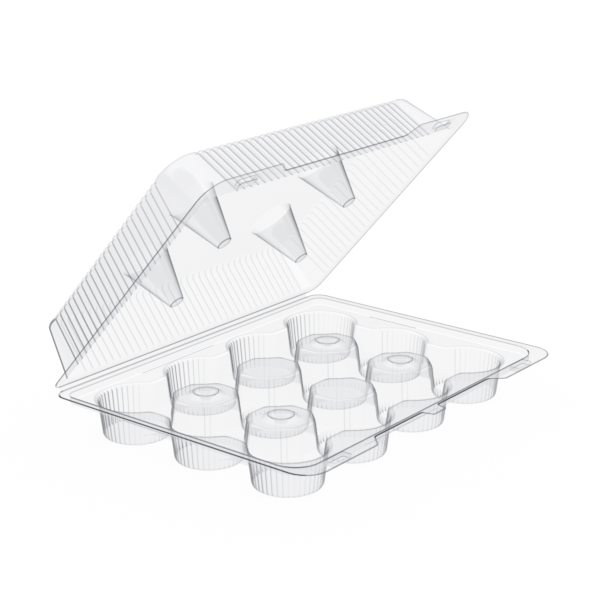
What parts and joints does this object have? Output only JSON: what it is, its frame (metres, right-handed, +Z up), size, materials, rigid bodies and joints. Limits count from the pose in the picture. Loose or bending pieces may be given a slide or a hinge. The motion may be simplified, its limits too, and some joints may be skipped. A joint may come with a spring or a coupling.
{
  "type": "clamshell carton",
  "caption": "Clear thermoformed clamshell carton: fluted round cups in a tray, living hinge, ribbed domed lid with posts that reach down between the cups.",
  "frame": {"origin": "on the plane the cup floors stand on, under the centre of the carton's footprint with the lid standing at its rest angle", "axes": "+X along the hinge (the long side), +Y from the front lift tabs towards the hinge, +Z up"},
  "size_m": [0.3234, 0.2704, 0.2319],
  "materials": {
    "clear_pet": "glossy clear thermoformed PET sheet"
  },
  "bodies": {
    "tray": {"base_tray": "clear_pet"},
    "hinge": {"hinge_web": "clear_pet"},
    "lid": {"lid_shell": "clear_pet"}
  },
  "joints": [
    {"name": "tray_crease", "type": "hinge", "parent": "tray", "child": "hinge", "pos_m": [0, 0.11674, 0.03425], "axis": [-1, 0, 0], "range_deg": [-24.23, 55.77]},
    {"name": "lid_crease", "type": "hinge", "parent": "hinge", "child": "lid", "pos_m": [0, 0.11797, 0.03699], "axis": [-1, 0, 0], "range_deg": [-24.23, 55.77]}
  ],
  "couplings": [
    {"joint": "lid_crease", "follows": "tray_crease", "ratio": 1}
  ]
}
